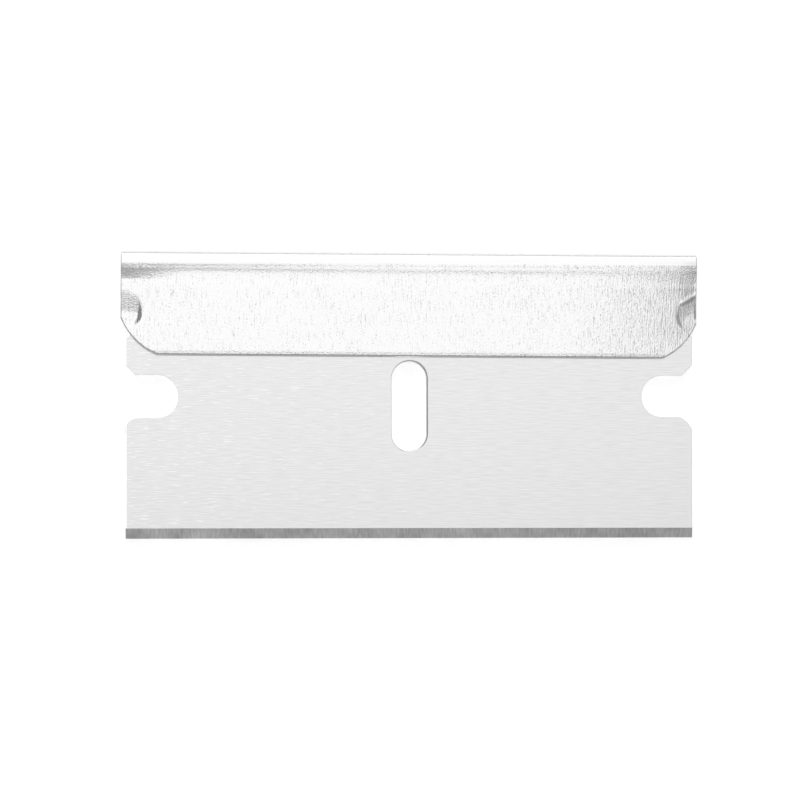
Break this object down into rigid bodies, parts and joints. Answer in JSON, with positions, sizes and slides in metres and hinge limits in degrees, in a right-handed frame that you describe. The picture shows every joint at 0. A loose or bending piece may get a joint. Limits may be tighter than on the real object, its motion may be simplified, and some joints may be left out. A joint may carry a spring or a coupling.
{
  "type": "single-edge scraper blade",
  "caption": "Rectangular strip-steel scraper blade with a ground cutting edge, centre slot and end notches, clamped and staked in a folded aluminium back.",
  "frame": {"origin": "middle of the part's length and height, on the flat surface that it lies on", "axes": "+X along the cutting edge, +Y from the cutting edge towards the folded back, +Z through the thickness, up from the surface that it lies on"},
  "size_m": [0.039, 0.0194, 0.001],
  "materials": {
    "strip_steel": "rolled strip with fine lines along the length, ground facets at the edge",
    "rolled_aluminium": "bright rolled sheet, satin"
  },
  "bodies": {
    "root": {"steel_blade": "strip_steel", "folded_back": "rolled_aluminium"}
  },
  "joints": []
}
